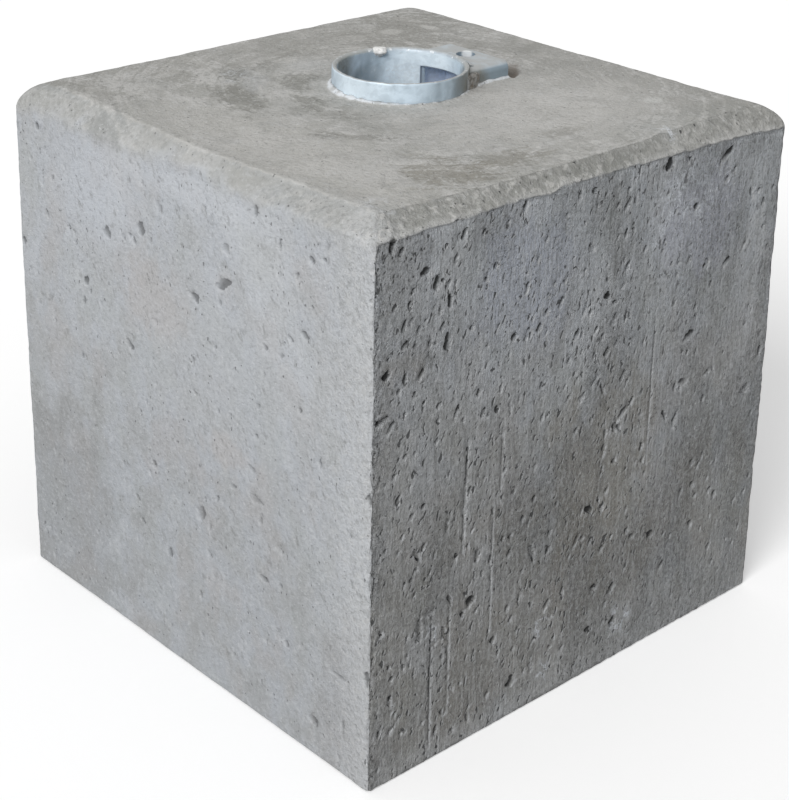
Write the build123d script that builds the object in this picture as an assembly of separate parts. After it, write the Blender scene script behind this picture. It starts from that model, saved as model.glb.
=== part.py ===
from build123d import *
import math
import os

# Concrete post base block: a cast cube with a steel ground sleeve for a removable post.
# Millimetres, +Z up, origin at the centre of the block's underside.
# The sleeve's latch pocket points towards +Y.

# Concrete block
BLOCK_LENGTH = 300.0
BLOCK_WIDTH = 300.0
BLOCK_HEIGHT = 300.0
TOP_CHAMFER = 14.5
CHAMFER_ARRIS_RADIUS = 5.0
CORNER_RADIUS = 3.0
BASE_ARRIS_RADIUS = 1.5

# Ground sleeve, a round tube through the whole block
SLEEVE_DIAMETER = 76.1
SLEEVE_WALL = 3.2
SLEEVE_PROUD = 12.0
SLEEVE_SHIFT_X = -7.3
SLEEVE_SHIFT_Y = 8.7
RIM_EDGE_RADIUS = 0.8

# Latch pocket, a stub of hollow section on the sleeve's +Y side
POCKET_WIDTH = 50.0
POCKET_HEIGHT = 60.0
POCKET_WALL = 3.0
POCKET_SHIFT_X = 3.0
POCKET_PROJECTION = 19.0
POCKET_BELOW_RIM = 2.0
END_PLATE_THICKNESS = 4.0
END_PLATE_EDGE_RADIUS = 1.5
VENT_HOLE_DIAMETER = 11.0

# Latch window in the sleeve's wall
WINDOW_SIDE_MARGIN = 2.5
WINDOW_BELOW_RIM = 10.5
WINDOW_HEIGHT = 40.0
WINDOW_CORNER_RADIUS = 2.0

# Weld runs between sleeve and pocket
SIDE_WELD_LEG = 8.0
SIDE_WELD_CROWN = 0.8
SIDE_WELD_END_GAP = 2.0
TOP_WELD_WIDTH = 3.0

# Sizes that follow from the ones above
SLEEVE_RADIUS = SLEEVE_DIAMETER / 2
BORE_RADIUS = SLEEVE_RADIUS - SLEEVE_WALL
RIM_HEIGHT = BLOCK_HEIGHT + SLEEVE_PROUD
POCKET_TOP = RIM_HEIGHT - POCKET_BELOW_RIM
POCKET_MIDDLE = POCKET_TOP - POCKET_HEIGHT / 2
POCKET_CORNER_RADIUS = 1.5 * POCKET_WALL
POCKET_END = SLEEVE_RADIUS + POCKET_PROJECTION
PLATE_START = POCKET_END - END_PLATE_THICKNESS
POCKET_INSIDE_WIDTH = POCKET_WIDTH - 2 * POCKET_WALL
POCKET_INSIDE_HEIGHT = POCKET_HEIGHT - 2 * POCKET_WALL
WINDOW_WIDTH = POCKET_INSIDE_WIDTH - 2 * WINDOW_SIDE_MARGIN
WINDOW_MIDDLE = RIM_HEIGHT - WINDOW_BELOW_RIM - WINDOW_HEIGHT / 2

# Place of the sleeve's axis in the block
SLEEVE_PLACE = Pos(SLEEVE_SHIFT_X, SLEEVE_SHIFT_Y, 0)


def block_casting():
    """The outside of the block: a cuboid, chamfered round its top, with worn arrises."""
    block = extrude(Rectangle(BLOCK_LENGTH, BLOCK_WIDTH), amount=BLOCK_HEIGHT)
    block = chamfer(block.edges().group_by(Axis.Z)[-1], TOP_CHAMFER)
    shoulder = BLOCK_HEIGHT - TOP_CHAMFER
    upper_arrises = block.edges().group_by(Axis.Z)[-1]
    lower_arrises = block.edges().filter_by_position(Axis.Z, shoulder, shoulder)
    block = fillet(upper_arrises + lower_arrises, CHAMFER_ARRIS_RADIUS)
    block = fillet(block.edges().filter_by(Axis.Z), CORNER_RADIUS)
    return fillet(block.edges().group_by(Axis.Z)[0], BASE_ARRIS_RADIUS)


def sleeve_core(radius):
    """A solid rod on the sleeve's axis, from the block's underside to the rim."""
    return extrude(Circle(radius), amount=RIM_HEIGHT)


def across_wall(profile, height, start, end):
    """Extrude a profile that stands upright towards +Y, centred on the pocket, from start to end."""
    sheet = Plane.XZ.offset(-start) * profile
    return Pos(POCKET_SHIFT_X, 0, height) * extrude(sheet, amount=start - end)


def sleeve_tube():
    """The tube, with softened rim edges and the latch window cut through its +Y wall."""
    tube = sleeve_core(SLEEVE_RADIUS) - sleeve_core(BORE_RADIUS)
    tube = fillet(tube.edges().group_by(Axis.Z)[-1], RIM_EDGE_RADIUS)
    opening = RectangleRounded(WINDOW_WIDTH, WINDOW_HEIGHT, WINDOW_CORNER_RADIUS)
    return tube - across_wall(opening, WINDOW_MIDDLE, 0, SLEEVE_RADIUS)


def pocket_envelope(end):
    """The pocket's outside as a solid bar that starts on the sleeve's axis."""
    outside = RectangleRounded(POCKET_WIDTH, POCKET_HEIGHT, POCKET_CORNER_RADIUS)
    return across_wall(outside, POCKET_MIDDLE, 0, end)


def latch_pocket():
    """A stub of hollow section, coped to the tube's curve, with a vent hole through its top wall."""
    inside_radius = POCKET_CORNER_RADIUS - POCKET_WALL
    inside = RectangleRounded(POCKET_INSIDE_WIDTH, POCKET_INSIDE_HEIGHT, inside_radius)
    stub = pocket_envelope(PLATE_START) - across_wall(inside, POCKET_MIDDLE, 0, PLATE_START)
    vent_middle = (SLEEVE_RADIUS + TOP_WELD_WIDTH + PLATE_START) / 2
    vent_place = Pos(POCKET_SHIFT_X, vent_middle, POCKET_TOP)
    vent = vent_place * Cylinder(VENT_HOLE_DIAMETER / 2, 2 * POCKET_CORNER_RADIUS)
    return stub - sleeve_core(SLEEVE_RADIUS) - vent


def pocket_end_plate():
    """The flat plate that closes the pocket, its outer edges dressed round."""
    outline = RectangleRounded(POCKET_WIDTH, POCKET_HEIGHT, POCKET_CORNER_RADIUS)
    plate = across_wall(outline, POCKET_MIDDLE, PLATE_START, POCKET_END)
    outer_edges = plate.faces().sort_by(Axis.Y)[-1].edges()
    return fillet(outer_edges, END_PLATE_EDGE_RADIUS)


def side_weld(side):
    """Upright weld run in the corner between the tube and the pocket's wall on one side (+1 or -1)."""
    wall_x = POCKET_SHIFT_X + side * POCKET_WIDTH / 2
    corner_y = math.sqrt(SLEEVE_RADIUS**2 - wall_x**2)
    turn = SIDE_WELD_LEG / SLEEVE_RADIUS
    angle = math.atan2(corner_y, wall_x) - side * turn
    on_wall = Vector(wall_x, corner_y + SIDE_WELD_LEG)
    on_tube = Vector(SLEEVE_RADIUS * math.cos(angle), SLEEVE_RADIUS * math.sin(angle))
    chord = on_tube - on_wall
    outward = Vector(-chord.Y, chord.X).normalized() * side
    crown = (on_wall + on_tube) * 0.5 + outward * SIDE_WELD_CROWN
    behind_wall = on_wall - Vector(side * POCKET_CORNER_RADIUS, 0)
    behind_tube = on_tube * (BORE_RADIUS / SLEEVE_RADIUS)
    face_line = ThreePointArc(on_wall, crown, on_tube)
    backing = Polyline(on_tube, behind_tube, behind_wall, on_wall)
    bead_height = POCKET_HEIGHT - 2 * SIDE_WELD_END_GAP
    bead = extrude(make_face(face_line + backing), amount=bead_height)
    bead = Pos(0, 0, POCKET_MIDDLE - bead_height / 2) * bead
    return bead - sleeve_core(SLEEVE_RADIUS) - pocket_envelope(POCKET_END)


def top_weld():
    """Weld run on the pocket's top wall, round the part of the tube that it meets."""
    rise = POCKET_BELOW_RIM - RIM_EDGE_RADIUS
    section = Polyline(
        (SLEEVE_RADIUS, POCKET_TOP),
        (SLEEVE_RADIUS + TOP_WELD_WIDTH, POCKET_TOP),
        (SLEEVE_RADIUS, POCKET_TOP + rise),
        close=True,
    )
    ring = revolve(Plane.XZ * make_face(section), axis=Axis.Z)
    flat_width = POCKET_WIDTH - 2 * POCKET_CORNER_RADIUS
    strip = Rectangle(flat_width, RIM_HEIGHT)
    return ring & across_wall(strip, POCKET_TOP, 0, POCKET_END)


def concrete_block():
    """The casting, with the cavity that the steel leaves in it."""
    tube_space = sleeve_core(SLEEVE_RADIUS)
    pocket_space = pocket_envelope(PLATE_START)
    block = block_casting()
    for piece in (tube_space, pocket_space, pocket_end_plate(), side_weld(1), side_weld(-1)):
        block = block - SLEEVE_PLACE * piece
    return block


steel = {
    "sleeve_tube": sleeve_tube(),
    "latch_pocket": latch_pocket(),
    "pocket_end_plate": pocket_end_plate(),
    "right_pocket_weld": side_weld(1),
    "left_pocket_weld": side_weld(-1),
    "top_pocket_weld": top_weld(),
}
nodes = {name: SLEEVE_PLACE * piece for name, piece in steel.items()}
nodes["concrete_block"] = concrete_block()

os.makedirs("parts", exist_ok=True)
for name, shape in nodes.items():
    export_step(shape, f"parts/{name}.step")
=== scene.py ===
import itertools
import math

import bpy
import numpy as np
from mathutils import Matrix, Vector


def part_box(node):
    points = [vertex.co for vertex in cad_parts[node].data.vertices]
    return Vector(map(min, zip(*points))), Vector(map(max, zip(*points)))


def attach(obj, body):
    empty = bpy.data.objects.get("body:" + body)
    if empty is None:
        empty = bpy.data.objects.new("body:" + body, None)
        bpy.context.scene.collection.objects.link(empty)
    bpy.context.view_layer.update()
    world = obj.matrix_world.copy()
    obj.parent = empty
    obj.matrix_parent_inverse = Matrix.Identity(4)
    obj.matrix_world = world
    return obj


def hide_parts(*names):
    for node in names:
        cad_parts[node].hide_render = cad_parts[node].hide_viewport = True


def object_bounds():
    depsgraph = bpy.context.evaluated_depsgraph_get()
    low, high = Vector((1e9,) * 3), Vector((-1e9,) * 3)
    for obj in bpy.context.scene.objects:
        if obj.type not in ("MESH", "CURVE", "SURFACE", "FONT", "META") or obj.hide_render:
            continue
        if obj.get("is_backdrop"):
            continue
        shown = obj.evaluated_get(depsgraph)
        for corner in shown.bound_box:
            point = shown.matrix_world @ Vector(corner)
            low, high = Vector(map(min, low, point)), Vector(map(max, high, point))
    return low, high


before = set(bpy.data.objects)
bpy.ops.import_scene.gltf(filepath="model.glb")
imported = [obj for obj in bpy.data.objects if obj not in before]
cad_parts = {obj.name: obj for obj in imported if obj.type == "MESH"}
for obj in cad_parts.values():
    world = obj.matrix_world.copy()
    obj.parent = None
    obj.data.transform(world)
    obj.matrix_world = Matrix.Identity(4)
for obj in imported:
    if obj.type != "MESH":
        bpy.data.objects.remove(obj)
cad_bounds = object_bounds()

# Camera
# It stands where the photograph was taken from, a little above the block, looking at its front upright edge.
# Angles are in degrees and the place is in metres, in the frame of the block.
IMAGE_HEIGHT = 800
FOCAL_PIXELS = 1888.7
AXIS_ROW = 203.9
AZIMUTH, ELEVATION, ROLL = 47.31, 20.10, 0.99
CAMERA_PLACE = (0.7269, -0.6714, 0.5963)

lens = bpy.data.cameras.new("camera")
lens.sensor_width = 36.0
lens.lens = FOCAL_PIXELS / IMAGE_HEIGHT * lens.sensor_width
lens.shift_y = (AXIS_ROW - IMAGE_HEIGHT / 2) / IMAGE_HEIGHT
camera = bpy.data.objects.new("camera", lens)
bpy.context.scene.collection.objects.link(camera)
turn = Matrix.Rotation(math.radians(AZIMUTH), 4, "Z") @ Matrix.Rotation(math.radians(90 - ELEVATION), 4, "X")
camera.matrix_world = Matrix.Translation(CAMERA_PLACE) @ turn @ Matrix.Rotation(math.radians(ROLL), 4, "Z")
bpy.context.scene.camera = camera


# Concrete block
# One casting of plain grey concrete with a chamfer round its top, cast round the steel sleeve.
# The side towards -Y came clean out of the mould, the one towards +X dragged against it and tore,
# and the top was struck off and smoothed by hand round the sleeve.
MM = 0.001
TRIANGLES = 194000
KEEPING = 0.0001
FINE_STEP, PLAIN_STEP = ((0.76, 1.3))

lowest, highest = (np.array(corner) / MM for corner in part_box("concrete_block"))
HALF = (highest[0] - lowest[0]) / 2
HEIGHT = highest[2]
lowest, highest = (np.array(corner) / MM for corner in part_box("sleeve_tube"))
AXIS = (lowest[:2] + highest[:2]) / 2
SLEEVE_RADIUS = (highest[0] - lowest[0]) / 2
RIM = highest[2]
lowest, highest = (np.array(corner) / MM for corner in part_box("pocket_end_plate"))
POCKET_SIDES = (lowest[0] - AXIS[0], highest[0] - AXIS[0])
POCKET_END = highest[1] - AXIS[1]
POCKET_FLOOR, POCKET_TOP = lowest[2], highest[2]
WELD_LEG = 8.0

CORNER_ROUNDS = (1.0, 1.8, 1.0, 2.2)
CHAMFER = 14.5
CHAMFER_ROWS = 24
TOP_ROWS = 116


def smooth_noise(points, size, seed):
    """Noise from -1 to 1: random numbers on a lattice of cells of one size, blended by a smooth step."""
    cells = 64
    lattice = np.random.default_rng(seed).uniform(-1, 1, (cells, cells, cells)).astype(np.float32)
    place = points / np.asarray(size, float)
    corner = np.floor(place).astype(np.int64)
    part = (place - corner).astype(np.float32)
    part = part * part * (3 - 2 * part)
    total = np.zeros(points.shape[:-1], np.float32)
    for step in itertools.product((0, 1), repeat=3):
        weight = np.prod(np.where(np.array(step) == 1, part, 1 - part), axis=-1)
        i, j, k = np.moveaxis((corner + step) % cells, -1, 0)
        total += weight * lattice[i, j, k]
    return total


def layered_noise(points, size, seed, layers):
    """Sum of layers of smooth noise, each with cells half as large and half as strong as the one before."""
    size = np.asarray(size, float)
    return sum(smooth_noise(points, size / 2**n, seed + n) / 2**n for n in range(layers))


def rise(value, start, end):
    """Smooth step from 0 where value is at start to 1 where it is at end."""
    part = np.clip((value - start) / (end - start), 0, 1)
    return part * part * (3 - 2 * part)


def weld_toes(wall_x):
    """Where a side weld ends on the pocket's wall and on the tube, seen from above, from the sleeve axis."""
    side = np.sign(wall_x)
    corner_y = math.sqrt(SLEEVE_RADIUS**2 - wall_x**2)
    tube_angle = math.atan2(corner_y, wall_x) - side * WELD_LEG / SLEEVE_RADIUS
    tube_toe = SLEEVE_RADIUS * np.array([math.cos(tube_angle), math.sin(tube_angle)])
    return np.array([wall_x, corner_y + WELD_LEG]), tube_toe


def hole_radius(angle):
    """Distance from the sleeve's axis to the steel's outline at the top, at each angle.

    It is the largest of the tube's circle, the pocket's rectangle where a ray meets it, and the welds' flats.
    """
    cosine, sine = np.cos(angle), np.sin(angle)
    left, right = POCKET_SIDES
    with np.errstate(divide="ignore", invalid="ignore"):
        to_side = np.where(cosine > 0, right / cosine, left / cosine)
        to_end = np.where(sine > 0, POCKET_END / sine, np.inf)
    pocket = np.where(sine > 0.3, np.minimum(to_side, to_end), 0)
    corner = np.hypot(np.where(cosine > 0, right, left), POCKET_END)
    radius = np.maximum(SLEEVE_RADIUS, np.minimum(pocket, corner - 0.6))
    for wall_x in POCKET_SIDES:
        wall_toe, tube_toe = weld_toes(wall_x)
        run = wall_toe - tube_toe
        reach = (tube_toe[0] * run[1] - tube_toe[1] * run[0]) / (cosine * run[1] - sine * run[0])
        low, high = sorted(math.atan2(toe[1], toe[0]) for toe in (wall_toe, tube_toe))
        radius = np.where((angle > low) & (angle < high), np.maximum(radius, reach), radius)
    return radius


def face_columns():
    """Points round a square of half-side 1, anticlockwise from the -X -Y corner, with each one's face number.

    The two faces with the finest work, -Y (0) and +X (1), have columns a fine step apart, the others wider.
    """
    points, numbers = [], []
    for face, step in enumerate((FINE_STEP, FINE_STEP, PLAIN_STEP, PLAIN_STEP)):
        along = np.arange(round(2 * HALF / step)) / round(2 * HALF / step) * 2 - 1
        ones = np.ones_like(along)
        points.append(((along, -ones), (ones, along), (-along, ones), (-ones, -along))[face])
        numbers.append(np.full(len(along), face))
    return np.concatenate(points, axis=1).T, np.concatenate(numbers)


def at_height(plan, height):
    """Points seen from above with a height added to each."""
    return np.concatenate([plan, np.broadcast_to(height, plan.shape[:-1] + (1,))], -1)


def outline(square, inset, corner):
    """Points of the square moved in by inset, those near a corner carried onto the arc that rounds it."""
    half = HALF - inset
    points = square * half[..., None]
    limit = (half - corner)[..., None]
    centre = np.clip(points, -limit, limit)
    away = points - centre
    return centre + away * (corner[..., None] / np.linalg.norm(away, axis=-1, keepdims=True))


def averaged(profile, times):
    """The profile with each point moved to the mean of itself and its two neighbours, so many times over."""
    for _ in range(times):
        middle = (profile[:-2] + profile[1:-1] * 2 + profile[2:]) / 4
        profile = np.concatenate([profile[:1], middle, profile[-1:]])
    return profile


SQUARE, FACE = face_columns()
ALONG = np.where(FACE % 2 == 0, SQUARE[:, 0], SQUARE[:, 1]) * HALF
COLUMNS = len(SQUARE)

# The chamfer was worked by hand, so it wanders: along two faces, heights of its foot and insets of its head
FOOT_MINUS_Y = ((-150, -105, -40, 13, 60, 95, 135, 150), (286, 288.5, 289, 292.5, 289.5, 290.5, 292, 291.5))
FOOT_PLUS_X = ((-150, -60, 20, 80, 120, 150), (291.5, 291.5, 291, 289.5, 288, 286))
HEAD_MINUS_Y = ((-150, -60, 10, 50, 90, 130, 150), (14.5, 11.5, 8.5, 10.5, 12.8, 14.8, 15.5))
HEAD_PLUS_X = ((-150, -110, -60, 0, 60, 110, 150), (15.5, 12.5, 9.5, 8.5, 9, 11, 14))

around = at_height(SQUARE * HALF, 0.0)
uneven = smooth_noise(around, 60.0, 3)
FOOT, HEAD = (
    np.select([FACE == 0, FACE == 1], [np.interp(ALONG, *minus_y), np.interp(ALONG, *plus_x)], elsewhere)
    for minus_y, plus_x, elsewhere in (
        (FOOT_MINUS_Y, FOOT_PLUS_X, 286.5 + 1.0 * uneven), (HEAD_MINUS_Y, HEAD_PLUS_X, 14.0 + 0.8 * uneven),
    )
)
RAGGEDNESS = np.array([1.0, 1.0, 0.35, 0.35])[FACE]
FOOT += RAGGEDNESS * (0.6 * smooth_noise(around, 9.0, 4) + 0.5 * smooth_noise(around, 3.2, 14))
HEAD += RAGGEDNESS * (0.9 * smooth_noise(around, 11.0, 5) + 0.6 * smooth_noise(around, 3.4, 15))

# The profile runs up from the underside, over the chamfer, to just inside the top; some edges are crisp
EDGE_LENGTH = 4.0
FOOT_SOFTNESS = np.array([1.0, 0.1, 0.5, 0.6])[FACE]
HEAD_SOFTNESS = np.array([0.1, 0.9, 0.4, 0.3])[FACE]
side_rows = round((HEIGHT - CHAMFER - EDGE_LENGTH) / FINE_STEP)
part = np.concatenate([
    np.linspace(0, 1, 6, endpoint=False),
    1 + np.linspace(0, 1, side_rows, endpoint=False),
    2 + np.linspace(0, 1, CHAMFER_ROWS, endpoint=False),
    3 + np.linspace(0, 1, 7),
])
stops = [0, 1, 2, 3, 4]
INSET = np.stack([np.interp(part, stops, (EDGE_LENGTH, 0, 0, head, head + EDGE_LENGTH)) for head in HEAD], 1)
LIFT = np.stack([np.interp(part, stops, (0, 0, foot, HEIGHT, HEIGHT)) for foot in FOOT], 1)

# Near the -X -Y and +X +Y corners the chamfer is worn towards a quarter round, so far along from each
WORN_REACHES = (34, 22)
CORNER_NOISE = 900
bend = np.clip(part - 2, 0, 1)[:, None] * math.pi / 2
to_corner = np.minimum(*(
    np.linalg.norm(SQUARE - side, axis=1) * HALF / reach for side, reach in zip((-1, 1), WORN_REACHES)
))
rounding = 0.75 * np.exp(-(to_corner**2)) * ((part > 2) & (part < 3))[:, None]
INSET += (HEAD * (1 - np.cos(bend)) - INSET) * rounding
LIFT += (FOOT + (HEIGHT - FOOT) * np.sin(bend) - LIFT) * rounding

softness = np.where(part[:, None] < 2.5, FOOT_SOFTNESS, HEAD_SOFTNESS)
for profile in (INSET, LIFT):
    sharp = averaged(profile, 1)
    profile[:] = sharp + (averaged(profile, 5) - sharp) * softness

corner_place = at_height(np.broadcast_to(SQUARE * CORNER_NOISE, LIFT.shape + (2,)), LIFT[..., None])
worn = np.clip(layered_noise(corner_place, 26.0, 11, 4), 0, 1)
chipped = np.clip(layered_noise(corner_place, 8.0, 12, 3) - 0.2, 0, 1)
crumbled = np.clip(0.5 + layered_noise(corner_place, 3.4, 13, 2), 0, 1)
nearest_corner = np.where(SQUARE[:, 1] < 0, SQUARE[:, 0] >= 0, 3 - (SQUARE[:, 0] > 0))
WEAR = np.array([0.3, 1.0, 0.3, 0.5])[nearest_corner]
slope_round = np.array([0.34, 0.10, 0.34, 0.34])[nearest_corner] * INSET
ROUND = np.array(CORNER_ROUNDS)[nearest_corner] + slope_round
ROUND += WEAR * (3.0 * worn**1.5 + 4.0 * chipped + 1.8 * crumbled)
shell = at_height(outline(SQUARE[None], INSET, ROUND), LIFT[..., None])

edge = shell[-1, :, :2]
angle = np.arctan2(edge[:, 1] - AXIS[1], edge[:, 0] - AXIS[0])
direction = np.stack([np.cos(angle), np.sin(angle)], -1)
STEEL_GAP = 0.05
ROW_CROWDING = 0.86
steel_edge = AXIS + direction * (hole_radius(angle) + STEEL_GAP)[:, None]
tube_edge = AXIS + direction * (SLEEVE_RADIUS + STEEL_GAP)

share = np.linspace(0, 1, TOP_ROWS + 1)[1:, None, None] ** ROW_CROWDING
top = at_height(edge + (steel_edge - edge) * share, HEIGHT)

cavity = [(steel_edge, HEIGHT - depth) for depth in (1.0, 4.0, 12.0, 30.0, HEIGHT - POCKET_FLOOR)]
cavity += [(tube_edge, height) for height in (POCKET_FLOOR, 180.0, 100.0, 30.0, 0.0)]
cavity = np.stack([at_height(ring, height) for ring, height in cavity])

under_share = np.array([0.1, 0.25, 0.42, 0.6, 0.76, 0.88, 0.96])[:, None, None]
under = at_height(tube_edge + (shell[0, :, :2] - tube_edge) * under_share, 0.0)

BLOCK = np.concatenate([shell, top, cavity, under])
SHELL_ROWS, LAST_TOP = len(shell), len(shell) + len(top)
across_rows = np.gradient(BLOCK, axis=0)
across_columns = (np.roll(BLOCK, -1, axis=1) - np.roll(BLOCK, 1, axis=1)) / 2
NORMAL = np.cross(across_columns, across_rows)
NORMAL /= np.maximum(np.linalg.norm(NORMAL, axis=-1, keepdims=True), 1e-9)

# Where a point is: how much it is cap (top and chamfer), how hard its face dragged, how far off the steel is
CAP_BLUR = np.array([6.0, 0.9, 2.5, 2.5])[FACE]
height_over_foot = BLOCK[..., 2] - FOOT + CAP_BLUR * 0.8 * layered_noise(BLOCK, 11.0, 17, 3)
cap = rise(height_over_foot, -CAP_BLUR, CAP_BLUR)
drag = np.array([0.05, 1.0, 0.5, 0.25])[FACE] * (1 - cap) * rise(BLOCK[..., 2], -1, 0.5)
side_x, side_y = BLOCK[..., 0] - AXIS[0], BLOCK[..., 1] - AXIS[1]
swirl_angle, from_axis = np.arctan2(side_y, side_x), np.hypot(side_x, side_y)
from_steel = from_axis - hole_radius(swirl_angle)
SWIRL_ARM = 60
swirl = np.stack([from_axis, SWIRL_ARM * np.cos(swirl_angle), SWIRL_ARM * np.sin(swirl_angle)], -1)

depth = 0.3 + 0.3 * smooth_noise(BLOCK, 70.0, 21) + 0.12 * layered_noise(BLOCK, 9.0, 22, 3)
torn_patch = rise(layered_noise(BLOCK, (26.0, 26.0, 60.0), 27, 3), -0.5, 0.6)
depth += drag * (0.45 + 0.12 * smooth_noise(BLOCK, (2.4, 2.4, 24.0), 25))
depth += drag * (0.10 + 0.16 * torn_patch) * layered_noise(BLOCK, (3.4, 3.4, 7.0), 26, 2)
swept = layered_noise(swirl, (9.0, 60.0, 60.0), 32, 2)
depth += cap * (0.25 + 0.12 * layered_noise(BLOCK, 17.0, 31, 3) + 0.14 * swept)
chamfered = cap * (BLOCK[..., 2] < HEIGHT - 0.5)
wandering = rise(smooth_noise(BLOCK, 24.0, 39), -0.35, 0.25)
# Painted highlight along the crisp foot of the chamfer on +X and its head on -Y
ridge_highlight = (FACE == 1) * np.exp(-(((height_over_foot - 1.0) / 1.0) ** 2)) * wandering
head_ridge = np.exp(-(((HALF + BLOCK[..., 1] - HEAD) / 1.3) ** 2)) * (BLOCK[..., 2] > HEIGHT - 3)
ridge_highlight += (FACE == 0) * head_ridge * (0.45 + 0.45 * wandering) * (0.35 + 0.65 * rise(ALONG, -60, 20))
undercut = rise(height_over_foot, -5, -0.8) * rise(height_over_foot, 0.4, -0.8)
depth += (FACE == 1) * undercut * (0.5 + 0.5 * smooth_noise(BLOCK, 12.0, 36))
near_front = (FACE == 0) * rise(ALONG, 20, 120) + (FACE == 1) * np.maximum(0.7, rise(ALONG, -90, -140))
depth += near_front * chamfered * 0.60 * layered_noise(BLOCK, 3.6, 35, 2)
from_front_edge = np.hypot(HALF - BLOCK[..., 0], HALF + BLOCK[..., 1])
depth += rise(from_front_edge, 16, 2) * 0.40 * layered_noise(BLOCK, 3.0, 37, 2) * (1 - cap)
edge_band = cap * (FACE == 1) * rise(from_axis, 100, 124) * rise(side_y, 30, 0)
depth += edge_band * (1 - chamfered) * 0.35 * layered_noise(BLOCK, 4.0, 38, 2)

# Bug holes and tears that stand out: place along the face, height, half width, half length, lean, depth
HOLES_MINUS_Y = (
    (38, 238, 2.6, 6.6, 1.0, 1.6), (-128, 278, 2.0, 2.3, 0.0, 1.7), (-32, 246.5, 3.2, 3.6, 0.2, 1.2),
    (-63, 235, 3.0, 3.4, -0.2, 1.1), (-48, 237, 1.3, 1.6, 0.0, 1.2), (-41.5, 240, 1.4, 1.7, 0.0, 1.4),
    (-38.5, 238, 1.3, 1.5, 0.0, 1.4), (-15, 263.5, 3.6, 2.6, 0.4, 0.6), (13, 223, 4.0, 2.2, 0.2, 1.3),
    (-147, 206, 1.8, 2.2, 0.0, 1.8), (-86, 200, 2.8, 3.0, -0.4, 1.4), (-22, 198, 2.6, 1.6, 0.5, 0.9),
    (100, 232, 2.4, 1.8, 0.0, 1.5), (115, 274, 1.6, 1.2, 0.0, 1.7), (106, 271, 2.2, 1.6, 0.0, 1.3),
    (82, 272, 1.4, 3.2, 0.0, 1.0), (90, 226, 2.0, 1.2, 0.2, 1.3), (40, 257, 3.0, 2.4, 0.0, 0.6),
    (70, 215, 2.2, 1.4, 0.6, 0.8), (95, 260, 1.8, 2.0, 0.0, 0.9), (11, 187, 1.4, 1.8, 0.0, 0.9),
    (-46, 177, 3.4, 2.0, 0.5, 1.0), (63, 164, 2.0, 1.2, 0.0, 1.1), (13, 169, 2.0, 1.1, 0.0, 0.9),
    (112, 168, 1.2, 2.4, 0.0, 0.9), (59, 144, 3.0, 2.0, 0.0, 0.7), (62, 128, 4.0, 2.4, 0.0, 0.6),
    (43, 128, 2.2, 1.6, 0.0, 0.7), (16, 100, 2.8, 4.4, 0.2, 0.8), (83, 107, 4.0, 2.4, 0.2, 0.8),
    (-13, 64, 2.2, 2.8, 0.5, 1.2), (-38, 73, 2.0, 1.6, 0.5, 1.3), (-26, 113, 2.6, 2.4, 0.0, 0.8),
    (147, 65, 1.6, 3.6, 0.0, 1.6), (147, 163, 1.6, 3.2, 0.0, 1.4), (-43, 86, 2.4, 1.0, 0.6, 0.9),
    (68, 85, 4.2, 1.6, 0.2, 0.9), (127, 57, 6.5, 1.2, 0.0, 0.7), (107, 21, 4.0, 2.2, 0.3, 0.9),
    (130, 27, 1.0, 6.5, 0.0, 0.7), (23, 79, 2.6, 1.2, 0.7, 1.2), (-100, 228, 1.6, 1.2, 0.0, 0.9),
)
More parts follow.
